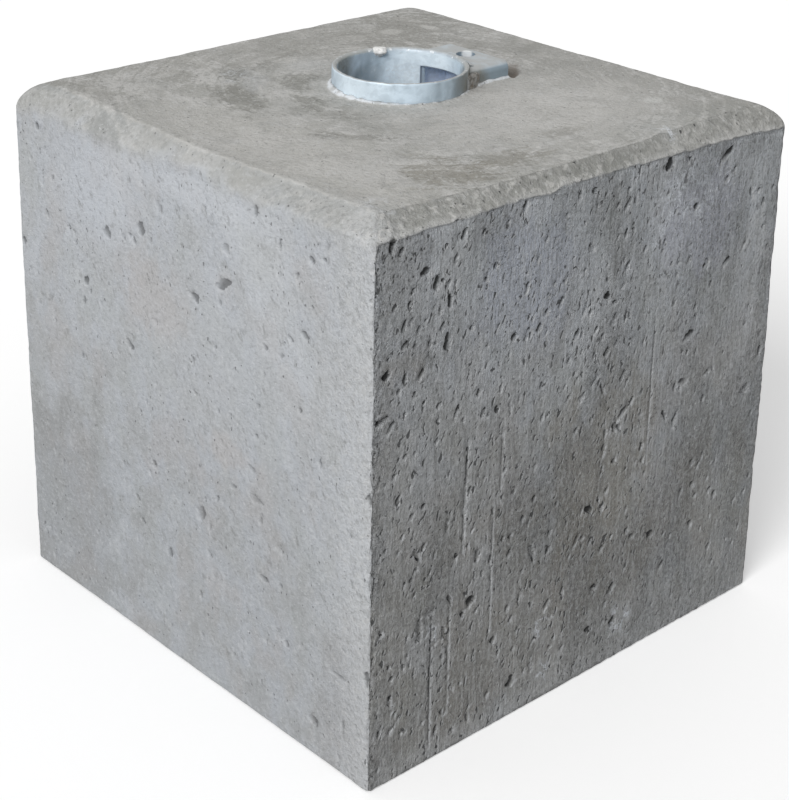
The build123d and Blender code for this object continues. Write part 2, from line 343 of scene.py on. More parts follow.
TEARS_PLUS_X = (
    (-4, 284, 2.0, 1.8, 0.2, 2.4), (-15, 284, 1.1, 2.9, 0.35, 1.4), (53, 285, 2.3, 3.2, 0.5, 2.2),
    (100, 281, 2.0, 4.0, 1.1, 1.8), (68, 285, 1.4, 1.8, 0.3, 1.4), (-139, 289, 2.1, 3.6, 0.3, 3.0),
    (-53, 287, 1.2, 2.6, 0.3, 1.4), (-118, 271, 3.0, 2.2, 0.3, 1.7), (-110, 264, 2.2, 3.6, 0.3, 1.4),
    (-102, 252, 1.2, 3.3, 0.0, 2.0), (-128, 257, 1.0, 2.2, 0.2, 1.4), (-122, 243, 1.2, 1.8, 0.2, 1.4),
    (-130, 238, 1.4, 2.8, 0.9, 1.5), (-107, 240, 1.3, 2.8, 0.4, 1.3), (-103, 232, 2.0, 5.0, 0.0, 1.3),
    (-130, 220, 1.2, 3.4, 0.1, 1.6), (-142, 225, 2.2, 2.2, 0.2, 2.4), (-144, 203, 1.6, 3.6, 1.3, 2.6),
    (-78, 258, 1.0, 2.0, 0.3, 1.2), (-58, 221, 1.8, 2.3, 0.4, 1.8), (-40, 221, 1.5, 2.0, 0.3, 1.7),
    (-50, 245, 1.0, 2.4, 0.3, 1.3), (-4, 253, 1.8, 1.6, 0.0, 1.8), (10, 224, 2.6, 2.2, 0.3, 2.4),
    (-7, 221, 1.2, 3.2, 0.4, 1.7), (16, 219, 2.0, 1.0, 0.3, 1.2), (-35, 228, 1.2, 1.6, 0.3, 1.3),
    (25, 237, 1.2, 2.7, 0.5, 1.5), (22, 255, 1.0, 2.0, 0.3, 1.3), (38, 243, 1.1, 2.2, 0.3, 1.3),
    (77, 257, 2.0, 1.7, 0.3, 1.9), (107, 218, 1.6, 2.6, 0.9, 1.2), (95, 208, 1.2, 2.0, 0.3, 1.1),
    (80, 182, 2.2, 4.6, 1.1, 1.0), (12, 192, 2.2, 2.4, 0.2, 1.8), (8, 202, 1.6, 1.8, 0.2, 1.3),
    (-68, 185, 1.3, 2.0, 0.2, 1.3), (5, 180, 1.6, 1.4, 0.2, 1.3), (-5, 172, 1.0, 3.2, 0.6, 1.4),
    (10, 172, 1.0, 3.0, -0.5, 1.2), (-35, 170, 1.0, 2.6, 0.2, 1.2), (27, 152, 1.7, 9.5, 0.85, 1.1),
    (23, 145, 3.0, 2.2, 0.3, 1.7), (63, 140, 1.2, 3.2, -0.5, 1.6), (77, 155, 3.0, 2.6, 0.3, 0.8),
    (98, 155, 1.4, 4.0, 1.2, 0.9), (96, 140, 1.2, 2.0, 0.2, 1.2), (133, 133, 2.8, 2.2, 0.0, 1.3),
    (45, 127, 1.6, 2.6, 0.2, 1.6), (47, 118, 1.2, 2.0, 0.2, 1.3), (-120, 123, 1.4, 4.4, -0.5, 1.9),
    (-93, 113, 1.2, 2.0, 0.2, 1.2), (-78, 107, 1.9, 3.3, 0.3, 2.4), (-60, 110, 1.2, 1.8, 0.2, 1.2),
    (-55, 100, 1.5, 2.7, 0.5, 1.4), (-38, 93, 1.5, 4.6, -0.3, 1.8), (5, 103, 3.2, 2.0, 0.3, 2.0),
    (15, 100, 2.6, 2.4, 0.0, 1.5), (-82, 83, 3.0, 3.2, 0.4, 1.8), (-88, 78, 1.4, 2.4, 0.3, 1.4),
    (-117, 80, 1.4, 6.2, -0.1, 1.7), (-110, 87, 1.2, 3.0, 1.3, 1.3), (-100, 72, 1.3, 5.2, -0.4, 1.4),
    (-107, 68, 2.2, 1.4, 0.0, 1.3), (37, 78, 1.2, 1.8, 0.2, 1.2), (42, 73, 2.4, 1.6, 0.2, 1.4),
    (58, 68, 2.8, 2.0, 0.2, 1.7), (90, 102, 1.6, 2.2, 0.3, 1.2), (92, 87, 1.6, 2.0, 0.3, 1.2),
    (113, 73, 1.6, 2.2, 0.3, 1.1), (-65, 52, 1.6, 2.2, 0.0, 1.7), (12, 52, 2.8, 2.2, 0.3, 1.7),
    (23, 38, 1.8, 2.2, 0.3, 1.2), (93, 62, 2.0, 2.4, 0.3, 1.3), (112, 40, 1.6, 2.4, 0.3, 1.1),
    (30, 23, 2.2, 3.0, 0.2, 1.4), (10, 27, 2.4, 1.6, 0.2, 1.2), (-50, 20, 2.8, 3.0, 0.2, 1.3),
    (-109, 45, 0.8, 42.0, 0.0, 0.9), (50, 165, 0.6, 50.0, 0.0, 0.5), (-88, 143, 0.9, 29.0, 0.03, 1.0),
    (-68, 98, 0.8, 38.0, 0.0, 0.6), (-63, 158, 0.7, 24.0, 0.0, 0.5), (-97, 55, 0.7, 30.0, 0.0, 0.6),
)


def stamp_pits(face, pits):
    """Adds pits to PITTING over one face, and to SHADE how dark their painted shade is, or below 0 the painted
    highlight on a rim.

    Each is a ragged ellipse turned by its lean, flat within and steep round its rim; its painted shade is
    darkest on the side away from the lamp, and its painted highlight lies on the rim that faces the lamp.
    """
    columns = np.flatnonzero(FACE == face)
    heights, ragged = BLOCK[:SHELL_ROWS, columns, 2], RAGGED[:SHELL_ROWS, columns]
    for along, height, half_width, half_length, lean, deep in pits:
        near = np.flatnonzero(np.abs(ALONG[columns] - along) < half_width + abs(lean) * half_length + 2)
        reach = half_length + 2
        middle_column = heights[:, near[len(near) // 2]]
        first, last = np.searchsorted(middle_column, (height - reach, height + reach))
        window = (slice(first, last), slice(near[0], near[-1] + 1))
        right = (ALONG[columns][window[1]] - along)[None]
        up = heights[window] - height
        wide = (right * math.cos(lean) - up * math.sin(lean)) / half_width
        tall = (right * math.sin(lean) + up * math.cos(lean)) / half_length
        away = np.hypot(wide, tall) * (1 + 0.38 * ragged[window])
        sunk = rise(1.12 - away, 0, 0.38)
        # Painted shade on the side of each pit away from the lamp, painted highlight on the rim that faces it
        hidden = DARK_SIDE[face] * wide + 0.3 * tall
        darkness = DARKNESS[face] + 0.45 * rise(deep, 1.4, 2.2)
        shaded = np.clip(darkness + hidden, 0, 1) * rise(sunk, 0.05, 0.6) * min(1, deep / 1.3)
        rim_distance = (away - 1.08) * min(half_width, half_length)
        pale = np.clip(-hidden - 0.05, 0, 0.7) * np.exp(-((rim_distance / 0.5) ** 2))
        whole = (slice(first, last), columns[window[1]])
        sloping = np.clip(0.85 + TORN_SLOPE[face] * wide, 0.35, 1.4)
        PITTING[whole] = np.maximum(PITTING[whole], sunk * deep * sloping)
        darker, paler = np.maximum(SHADE[whole], shaded), np.minimum(SHADE[whole], -pale)
        SHADE[whole] = np.where(shaded > 0.05, darker, paler)


def scatter_pits(count, widths, stretch, lean, depths, seed):
    """Random pits for one face: small ones are common and large ones rare."""
    chance = np.random.default_rng(seed)
    size = widths[0] + (widths[1] - widths[0]) * chance.random(count) ** 3
    longer = 1 + (stretch - 1) * chance.random(count)
    return np.column_stack([
        chance.uniform(4 - HALF, HALF - 4, count),
        chance.uniform(6, HEIGHT - CHAMFER, count),
        size,
        size * longer,
        lean + chance.normal(0, 0.25, count),
        depths[0] + (depths[1] - depths[0]) * chance.random(count),
    ])


RAGGED = layered_noise(BLOCK, 2.2, 55, 2)
TORN_SLOPE = (0.2, -0.5, 0.3, 0.2)
DARKNESS = (0.66, 0.58, 0.5, 0.5)
DARK_SIDE = (0.4, -0.65, -0.3, 0.3)
PITTING, SHADE = np.zeros((2,) + BLOCK.shape[:2])
torn_at_random = scatter_pits(420, (0.7, 1.5), 2.8, 0.25, (0.6, 1.6), 52)
torn_at_random = torn_at_random[(torn_at_random[:, 0] < 30) | (np.arange(len(torn_at_random)) % 2 == 0)]
for face, pits in enumerate((
    (*HOLES_MINUS_Y, *scatter_pits(120, (0.7, 1.7), 2.0, 0.3, (0.4, 1.0), 51)),
    (*TEARS_PLUS_X, *torn_at_random),
    scatter_pits(260, (0.8, 2.2), 2.6, 0.2, (0.5, 1.6), 53),
    scatter_pits(200, (0.8, 2.2), 2.2, -0.1, (0.5, 1.4), 54),
)):
    stamp_pits(face, pits)

# Rust has stained and pitted a strip of the top beside the pocket: where it starts, its run and its soft edge
RUST_START, RUST_RUN = (25, 62), (-16, 17)
RUST_EDGES = (4.6, 1.8)
rust_x, rust_y = side_x - RUST_START[0], side_y - RUST_START[1]
ahead = np.clip((rust_x * RUST_RUN[0] + rust_y * RUST_RUN[1]) / (RUST_RUN[0] ** 2 + RUST_RUN[1] ** 2), 0, 1)
rust = np.hypot(rust_x - RUST_RUN[0] * ahead, rust_y - RUST_RUN[1] * ahead)
rust = rust * (1 + 0.3 * smooth_noise(BLOCK, 4.0, 63))
rust = np.where(cap > 0.5, rise(rust, *RUST_EDGES), 0) * (1 - 0.5 * ahead)
depth = np.maximum(depth, 0.05) + PITTING + 1.2 * rust

# The mortar that crept up the steel stands a little above the top, thickest at the sleeve's -X -Y side
CRUST_ANGLE, FRONT_ANGLE = -118, -90
crust = rise(np.cos(swirl_angle - math.radians(CRUST_ANGLE)), 0.45, 1)
front_line = rise(np.cos(swirl_angle - math.radians(FRONT_ANGLE)), 0.3, 0.8)
creep = 0.8 + 0.6 * smooth_noise(swirl, 5.0, 61) + 0.5 * front_line
creep = creep + crust * (1.1 + 0.5 * layered_noise(BLOCK, 4.0, 64, 2))
lip = rise(side_x, 20, 24) * rise(side_y, 29, 34)
creep = creep + lip * (0.9 + 0.6 * smooth_noise(BLOCK, 5.0, 62))
creep = np.where(cap > 0.5, creep * np.exp(-np.maximum(from_steel, 0) / (1.3 + 0.4 * crust)), 0)
creep = np.maximum(creep, 0)

outside = np.arange(len(BLOCK))[:, None] < LAST_TOP - 1
depth = np.where(outside, depth, 0) * rise(from_steel, 0, 3)
BLOCK = BLOCK - NORMAL * depth[..., None]
BLOCK[:LAST_TOP, :, 2] += creep[:LAST_TOP]
BLOCK[..., :2] = np.clip(BLOCK[..., :2], -HALF, HALF)

# Pale scum: cement milk that dried in patches, each a place, a radius and a strength
SCUM_PATCHES = (
    (150, 66, 265, 24, 1.0), (150, 92, 268, 20, 0.6), (150, 48, 250, 14, 0.7), (150, -108, 74, 8, 0.9),
    (150, -27, 44, 10, 1.0), (150, -26, 16, 8, 0.8), (150, -113, 268, 6, 0.7), (150, 36, 23, 13, 1.0),
    (150, -27, 36, 7, 0.8), (139, 60, 297, 9, 0.6), (128, -128, 296, 14, 0.35), (-80, -48, 300, 16, 0.35),
)
scum = np.zeros(BLOCK.shape[:2])
wavering = 1 + 0.35 * layered_noise(BLOCK, 8.0, 65, 3)
for *middle, radius, strength in SCUM_PATCHES:
    away = np.linalg.norm(BLOCK - middle, axis=-1) * wavering
    scum = np.maximum(scum, strength * rise(away, radius, radius * 0.35))


def lay_piece(name, points, *faces):
    """A smooth shaded mesh object from points in millimetres and arrays of faces of three or four corners."""
    corners = np.concatenate([group.ravel() for group in faces])
    counts = np.concatenate([np.full(len(group), group.shape[1]) for group in faces])
    mesh = bpy.data.meshes.new(name)
    mesh.vertices.add(len(points))
    mesh.vertices.foreach_set("co", (points * MM).astype(np.float32).ravel())
    mesh.loops.add(len(corners))
    mesh.loops.foreach_set("vertex_index", corners.astype(np.int32))
    mesh.polygons.add(len(counts))
    mesh.polygons.foreach_set("loop_start", (np.cumsum(counts) - counts).astype(np.int32))
    mesh.update(calc_edges=True)
    mesh.validate()
    mesh.shade_smooth()
    piece = bpy.data.objects.new(name, mesh)
    bpy.context.scene.collection.objects.link(piece)
    return piece


def mark(piece, name, values):
    """Keeps one number per point on the mesh, for its material to read."""
    layer = piece.data.attributes.new(name, "FLOAT", "POINT")
    layer.data.foreach_set("value", values.astype(np.float32).ravel())


def ring_quads(rows, columns, close_rows):
    """Faces of a grid of points that closes on itself along its columns, and where asked along its rows."""
    row = np.arange(rows if close_rows else rows - 1)[:, None]
    column = np.arange(columns)[None]
    next_row, next_column = (row + 1) % rows, (column + 1) % columns
    corners = [row * columns + column, row * columns + next_column,
               next_row * columns + next_column, next_row * columns + column]
    return np.stack(np.broadcast_arrays(*corners), -1).reshape(-1, 4)


block = lay_piece("cast_block", BLOCK.reshape(-1, 3), ring_quads(len(BLOCK), COLUMNS, True))
# Marks for the material; the pits' painted shade, and from its negative part their painted rim highlights, are
# among them
marks = {
    "shade": SHADE, "rim_highlight": -SHADE * 1.6, "drag": drag, "cap": cap,
    "clean_slope": chamfered * (FACE == 0) * (0.6 + 0.6 * rise(BLOCK[..., 2], 296, 299.3)),
    "torn_slope": chamfered * (FACE == 1), "creep": creep / 1.4, "scum": scum, "rust": rust,
    "torn": torn_patch, "ridge_highlight": ridge_highlight,
}
for name, values in marks.items():
    mark(block, name, np.clip(values, 0, 1))

# The grid is thinned to fewer triangles, where it is smooth, but stays whole in and round the pits
kept_whole = block.vertex_groups.new(name="kept_whole")
kept_whole.add(np.flatnonzero(np.abs(SHADE) > 0.04).tolist(), 1.0, "REPLACE")
thinning = block.modifiers.new("thinning", "DECIMATE")
thinning.vertex_group = "kept_whole"
thinning.invert_vertex_group = True
thinning.vertex_group_factor = KEEPING
thinning.ratio = TRIANGLES / (2 * len(block.data.polygons))
thinned = block.evaluated_get(bpy.context.evaluated_depsgraph_get())
thinned = bpy.data.meshes.new_from_object(thinned)
block.modifiers.clear()
block.data = thinned
block.data.shade_smooth()
kept = np.empty(3 * len(thinned.vertices), np.float32)
thinned.vertices.foreach_get("co", kept)
kept = np.clip(kept.reshape(-1, 3) / MM, (-HALF, -HALF, 0), (HALF, HALF, RIM)) * MM
thinned.vertices.foreach_set("co", kept.astype(np.float32).ravel())


class Signal:
    """An output socket in a material. Arithmetic on it adds Math nodes to the material."""

    def __init__(self, tree, socket):
        self.tree, self.socket = tree, socket

    def node(self, kind, settings=None, inputs=None, output=0):
        """Adds a node of any kind: its settings first, then the values or signals of its sockets."""
        return add_node(self.tree, kind, settings, inputs, output)

    def math(self, operation, *values):
        return self.node("ShaderNodeMath", {"operation": operation}, dict(enumerate(values)))

    def __add__(self, other):
        return self.math("ADD", self, other)

    __radd__ = __add__

    def __sub__(self, other):
        return self.math("SUBTRACT", self, other)

    def __rsub__(self, other):
        return self.math("SUBTRACT", other, self)

    def __mul__(self, other):
        return self.math("MULTIPLY", self, other)

    __rmul__ = __mul__

    def __truediv__(self, other):
        return self.math("DIVIDE", self, other)

    def __pow__(self, other):
        return self.math("POWER", self, other)

    def __abs__(self):
        return self.math("ABSOLUTE", self)

    def step(self, start, end):
        """Smooth step from 0 at start to 1 at end."""
        inputs = {"Value": self, "From Min": start, "From Max": end}
        return self.node("ShaderNodeMapRange", {"interpolation_type": "SMOOTHSTEP"}, inputs)

    def vector(self, operation, other=(0.0, 0.0, 0.0)):
        """Vector Math of two vectors; a distance or a length is one number."""
        output = "Value" if operation in ("DISTANCE", "LENGTH") else "Vector"
        return self.node("ShaderNodeVectorMath", {"operation": operation}, {0: self, 1: other}, output)

    def parts(self):
        return [self.node("ShaderNodeSeparateXYZ", None, {0: self}, n) for n in range(3)]

    def noise(self, across, up=None, detail=3.0, roughness=0.55, distortion=0.0):
        """Noise with so many cells to the metre across and, where they differ, upwards."""
        place = self.vector("MULTIPLY", (1.0, 1.0, (up or across) / across))
        inputs = {"Vector": place, "Scale": across, "Detail": detail, "Roughness": roughness}
        return self.node("ShaderNodeTexNoise", None, {**inputs, "Distortion": distortion}, "Fac")

    def attribute(self, name):
        return self.node("ShaderNodeAttribute", {"attribute_name": name}, None, "Fac")

    def mix(self, first, second):
        """A colour between two others: first where this signal is 0 and second where it is 1."""
        return self.node("ShaderNodeMix", {"data_type": "RGBA"}, {"Factor": self, 6: first, 7: second}, 2)


def add_node(tree, kind, settings=None, inputs=None, output=0):
    """Adds one node and returns the signal of the output that is asked for."""
    made = tree.nodes.new(kind)
    for name, value in (settings or {}).items():
        setattr(made, name, value)
    fill_sockets(made, inputs or {})
    return Signal(tree, made.outputs[output])


def fill_sockets(made, inputs):
    """Sets or links input sockets, by their name or number."""
    for key, value in inputs.items():
        socket = made.inputs[key]
        if isinstance(value, Signal):
            value.tree.links.new(value.socket, socket)
        elif socket.type == "RGBA" and len(value) == 3:
            socket.default_value = (*value, 1.0)
        else:
            socket.default_value = value


def new_material(name):
    """A material with one Principled shader, its shader node, and the Object coordinates to build on."""
    material = bpy.data.materials.new(name)
    material.use_nodes = True
    tree = material.node_tree
    return material, tree.nodes["Principled BSDF"], add_node(tree, "ShaderNodeTexCoord", output="Object")


def bumped(height):
    """A normal that a height, in millimetres, turns."""
    return height.node("ShaderNodeBump", None, {"Height": height, "Distance": MM, "Strength": 1.0}, "Normal")


BLUE_GREY = (0.455, 0.483, 0.520)
PLAIN_GREY = (0.425, 0.440, 0.450)
GREEN_GREY = (0.385, 0.410, 0.395)
CLEAN_GREY = (0.462, 0.482, 0.522)
PINK_GREY = (0.440, 0.425, 0.425)
CAP_BEIGE = (0.385, 0.382, 0.360)
CAP_PALE = (0.500, 0.495, 0.478)
CAP_DARK = (0.250, 0.252, 0.235)
# Pale cement milk, also used for painted highlights on the rims of pits and slits and for the painted light
# higher up the sides
PALE_MILK_AND_HIGHLIGHT = (0.640, 0.655, 0.670)
MILK_BLUE = (0.595, 0.640, 0.700)
# A dark grey tone in the concrete, also used as painted shade near the floor and in shallow dents
DARK_TONE_AND_SHADE = (0.215, 0.217, 0.210)
WARM_DIRT = (0.290, 0.265, 0.225)
# Painted shade for the hollows of pits, slits, pores and pocks
PIT_SHADE = (0.035, 0.037, 0.037)
RUST_STAIN = (0.105, 0.075, 0.050)
STROKE_PALE = (0.560, 0.552, 0.530)
FLAKE_PALE = (0.600, 0.590, 0.565)
GRANULE_PALE = (0.640, 0.632, 0.610)
RIDGE_HIGHLIGHT = (0.660, 0.662, 0.650)
SLOPE_GREY = (0.352, 0.364, 0.364)
SCUM_WHITE = (0.840, 0.880, 0.940)
FLECK_WHITE = (0.750, 0.760, 0.760)
CREPT_CEMENT = (0.740, 0.770, 0.800)

# Larger tints and stains: colour, strength, middle, and half sizes, of which the third points into the block
SIDE_PATCHES = (
    ((0.510, 0.550, 0.640), 0.70, (150, -50, 250), (20, 36, 36)),
    ((0.570, 0.595, 0.680), 0.75, (150, 82, 248), (20, 34, 30)),
    ((0.550, 0.570, 0.590), 0.50, (150, -128, 258), (20, 32, 50)),
    ((0.530, 0.540, 0.545), 0.28, (150, -132, 150), (20, 26, 42)),
    ((0.540, 0.550, 0.560), 0.34, (150, 134, 150), (20, 20, 34)),
    ((0.570, 0.585, 0.595), 0.48, (150, 60, 18), (20, 88, 24)),
    ((0.300, 0.280, 0.240), 0.50, (150, 10, 125), (20, 38, 52)),
    ((0.300, 0.275, 0.240), 0.45, (150, -130, 227), (20, 15, 10)),
    ((0.310, 0.295, 0.265), 0.22, (150, 100, 70), (20, 50, 40)),
    ((0.560, 0.590, 0.640), 0.45, (-75, -150, 258), (42, 20, 30)),
    ((0.500, 0.520, 0.545), 0.35, (30, -150, 190), (60, 20, 50)),
    ((0.600, 0.625, 0.665), 0.50, (20, -150, 279), (62, 20, 10)),
    ((0.480, 0.452, 0.440), 0.40, (-25, -150, 210), (26, 20, 22)),
    ((0.480, 0.452, 0.440), 0.40, (40, -150, 145), (24, 20, 9)),
    ((0.260, 0.265, 0.270), 0.36, (-112, -150, 45), (60, 20, 70)),
    ((0.250, 0.250, 0.260), 0.50, (134, -150, 38), (20, 20, 44)),
)
TOP_PATCHES = (
    ((0.270, 0.265, 0.245), 0.48, (0, 120, 300), (170, 55, 20)),
    ((0.280, 0.272, 0.250), 0.36, (-118, 20, 300), (44, 130, 20)),
    ((0.560, 0.550, 0.528), 0.60, (70, 40, 300), (48, 74, 20)),
    ((0.550, 0.540, 0.515), 0.50, (30, -108, 300), (92, 28, 20)),
    ((0.560, 0.560, 0.540), 0.90, (100, 96.7, 300), (5.6, 5.6, 20)),
    ((0.245, 0.232, 0.200), 0.60, (119, -33, 300), (10, 20, 20)),
    ((0.320, 0.325, 0.310), 0.40, (132, 74, 300), (12, 36, 20)),
    ((0.310, 0.305, 0.285), 0.45, (-106, -128, 300), (34, 14, 20)),
    ((0.240, 0.225, 0.190), 0.65, (114, -72, 300), (19, 20, 20)),
    ((0.230, 0.228, 0.205), 0.55, (149, -90, 290), (13, 17, 14)),
    ((0.235, 0.235, 0.215), 0.50, (149, 14, 290), (13, 26, 14)),
    ((0.290, 0.300, 0.300), 0.45, (-66, -148, 294), (16, 12, 12)),
    ((0.290, 0.300, 0.300), 0.45, (86, -148, 294), (18, 12, 12)),
    ((0.260, 0.250, 0.225), 0.45, (107, 18, 300), (7, 14, 20)),
    ((0.620, 0.615, 0.590), 0.60, (-95, -97, 300), (7, 3.5, 20)),
    ((0.620, 0.615, 0.590), 0.60, (-89, 108, 300), (7, 3.5, 20)),
    ((0.600, 0.595, 0.570), 0.50, (-96, 82, 300), (5, 6, 20)),
)
# Marks of the tool swept round the sleeve: colour, strength, radius, degrees round, and half sizes of both
SWEPT_PATCHES = (
    ((0.205, 0.203, 0.182), 0.80, 92, -114, 9, 17),
    ((0.215, 0.213, 0.195), 0.70, 94, -144, 7, 8),
    ((0.230, 0.228, 0.208), 0.50, 88, -164, 4, 15),
    ((0.225, 0.220, 0.200), 0.60, 94, -54, 4, 14),
    ((0.200, 0.198, 0.180), 0.70, 100, -65, 4, 4),
    ((0.215, 0.213, 0.190), 0.65, 57, -137, 7, 22),
    ((0.215, 0.213, 0.190), 0.65, 60, -102, 7, 12),
    ((0.220, 0.216, 0.195), 0.50, 64, -75, 5, 10),
    ((0.480, 0.485, 0.480), 0.70, 65, -170, 13, 14),
    ((0.470, 0.475, 0.475), 0.60, 80, -133, 7, 9),
)


def overlaid(base, layers):
    """The base colour with tints laid over it, one after another, each as strong as its own signal."""
    for strength, tint in layers:
        base = strength.mix(base, tint)
    return base


def tinted(base, patches, place, edge):
    """The base colour with soft-edged patches laid on it, one after another."""
    for tint, strength, middle, half_sizes in patches:
        away = place.vector("SUBTRACT", tuple(n * MM for n in middle))
        away = away.vector("MULTIPLY", tuple(1 / (n * MM) for n in half_sizes)).vector("LENGTH")
        base = ((1 - (away + edge).step(0.5, 1.3)) * strength).mix(base, tint)
    return base


concrete, shader, place = new_material("cast_concrete")
x, y, z = place.parts()
(shaded, rim_highlight, dragged, capped, clean_slope, torn_slope, crept, scummed, rusted, torn_here, ridge_lit) = (
    place.attribute(name) for name in marks
)

clouds = place.noise(11.0, 8.0, 5.0)
mottle = place.noise(48.0, 34.0, 5.0, 0.6)
tints = place.noise(29.0, 21.0, 4.0)
runs = place.noise(95.0, 16.0, 4.0, 0.6)
grain = place.noise(430.0, None, 4.0, 0.7)
torn = place.noise(680.0, 400.0, 3.0, 0.7)
hairs = place.noise(620.0, 60.0, 3.0, 0.6)

leaning = place.node("ShaderNodeCombineXYZ", None, {0: x, 1: y - z * 0.32, 2: z + y * 0.2})
dense = 1 - y.step(0.01, 0.10) * 0.55
# Slits: thin leaning dents, painted dark within as painted shade
slits = leaning.noise(400.0, 190.0, 2.0, 0.6, 0.5).step(0.625, 0.675) * dragged * dense
# Painted highlight: a copy of the slits moved a little along +Y, painted pale where their walls face the lamp
moved = leaning.vector("SUBTRACT", (0.0, 0.0011, -0.0003))
slit_highlights = moved.noise(400.0, 190.0, 2.0, 0.6, 0.5).step(0.625, 0.675) * dragged * dense
leaning = place.node("ShaderNodeCombineXYZ", None, {0: x + z * 0.3, 1: y, 2: z})
# Spots: shallow dents on the clean faces, painted dark within as painted shade
spots = leaning.noise(210.0, 130.0, 3.0, 0.6).step(0.60, 0.74) * (1 - dragged)
# Pores: tiny dents, painted dark within as painted shade
pores = place.noise(480.0, 330.0, 1.0).step(0.73, 0.77)
flecks = place.noise(620.0, None, 2.0).step(0.68, 0.74)

centre = place.vector("SUBTRACT", (AXIS[0] * MM, AXIS[1] * MM, 0.0))
side_x, side_y, _ = centre.parts()
radius = (side_x * side_x + side_y * side_y) ** 0.5
SWIRL_SCALE = 0.07
turned_x, turned_y = side_x / radius * SWIRL_SCALE, side_y / radius * SWIRL_SCALE
swirled = place.node("ShaderNodeCombineXYZ", None, {0: radius, 1: turned_x, 2: turned_y})
smears = swirled.vector("MULTIPLY", (2.0, 1.0, 1.0)).noise(24.0, None, 5.0, 0.6, 0.5)
strokes = swirled.vector("MULTIPLY", (5.0, 1.0, 1.0)).noise(60.0, None, 3.0)
blotches = place.noise(36.0, None, 6.0, 0.62, 0.8)

low_down = (1 - z.step(0.08, 0.24)) * dragged
side_colour = overlaid(mottle.step(0.40, 0.60).mix(PLAIN_GREY, BLUE_GREY), (
    (tints.step(0.51, 0.64) * (0.34 + dragged * 0.16), GREEN_GREY),
    ((1 - dragged) * 0.30, CLEAN_GREY),
    (tints.step(0.47, 0.36) * 0.40, PINK_GREY),
    (clouds.step(0.50, 0.66) * 0.10, WARM_DIRT),
    (clouds.step(0.48, 0.36) * z.step(0.12, 0.27) * 0.30, PALE_MILK_AND_HIGHLIGHT),
    (mottle.step(0.56, 0.66) * (1 - dragged) * 0.22, PALE_MILK_AND_HIGHLIGHT),
    (mottle.step(0.45, 0.35) * (1 - dragged) * 0.16, DARK_TONE_AND_SHADE),
    # Painted light: the sides are painted paler towards the top
    (z.step(0.06, 0.26) * (0.14 + dragged * 0.16), PALE_MILK_AND_HIGHLIGHT),
    (z.step(0.15, 0.27) * dragged * 0.32, MILK_BLUE),
    (mottle.step(0.55, 0.66) * dragged * 0.24, MILK_BLUE),
    (mottle.step(0.46, 0.36) * dragged * 0.28, DARK_TONE_AND_SHADE),
    (runs.step(0.52, 0.70) * dragged * 0.35, BLUE_GREY),
    (runs.step(0.47, 0.32) * dragged * 0.35, DARK_TONE_AND_SHADE),
    # Painted shade: the sides are painted darker towards the floor
    ((1 - z.step(0.02, 0.27)) * (0.20 + dragged * 0.07), DARK_TONE_AND_SHADE),
    (low_down * (0.15 + clouds.step(0.40, 0.62) * 0.30), WARM_DIRT),
))
side_colour = tinted(side_colour, SIDE_PATCHES, place, (mottle - 0.5) * 2.4 + (runs - 0.5) * dragged)
side_colour = ((1 - z.step(0.005, 0.017)) * dragged * 0.40).mix(side_colour, PALE_MILK_AND_HIGHLIGHT)

inner = 1 - radius.step(0.060, 0.105)
flakes = place.noise(105.0, None, 4.0, 0.65, 1.2)
creases = 1 - abs(blotches - 0.47).step(0.0, 0.012)
cap_colour = overlaid(blotches.step(0.38, 0.62).mix(CAP_BEIGE, CAP_PALE), (
    (smears.step(0.49, 0.60) * (0.16 + inner * 0.22), CAP_DARK),
    (strokes.step(0.54, 0.66) * 0.30, STROKE_PALE),
    (strokes.step(0.46, 0.34) * 0.32, CAP_DARK),
    (flakes.step(0.57, 0.64) * 0.30, FLAKE_PALE),
    (flakes.step(0.42, 0.36) * 0.24, CAP_DARK),
    (creases * strokes.step(0.46, 0.56) * 0.30, CAP_DARK),
))
edge = (blotches - 0.5) * 2.8 + (strokes - 0.5) * 2.4 + (grain - 0.5) * 2.4
cap_colour = tinted(cap_colour, TOP_PATCHES, place, edge)
for tint, strength, ring, degrees, half_ring, half_degrees in SWEPT_PATCHES:
    round_to = math.radians(degrees)
    middle = (ring * MM, SWIRL_SCALE * math.cos(round_to), SWIRL_SCALE * math.sin(round_to))
    sizes = (1 / (half_ring * MM),) + (1 / (SWIRL_SCALE * math.radians(half_degrees)),) * 2
    away = swirled.vector("SUBTRACT", middle).vector("MULTIPLY", sizes).vector("LENGTH") + edge
    cap_colour = ((1 - away.step(0.45, 1.35)) * strength * 0.85).mix(cap_colour, tint)
cap_colour = overlaid(cap_colour, (
    (mottle.step(0.55, 0.66) * 0.24, FLAKE_PALE),
    (mottle.step(0.46, 0.36) * 0.20, CAP_DARK),
    (torn_slope * (0.34 + y.step(0.090, 0.040) * 0.28), CAP_DARK),
    (clean_slope * 0.60, SLOPE_GREY),
))

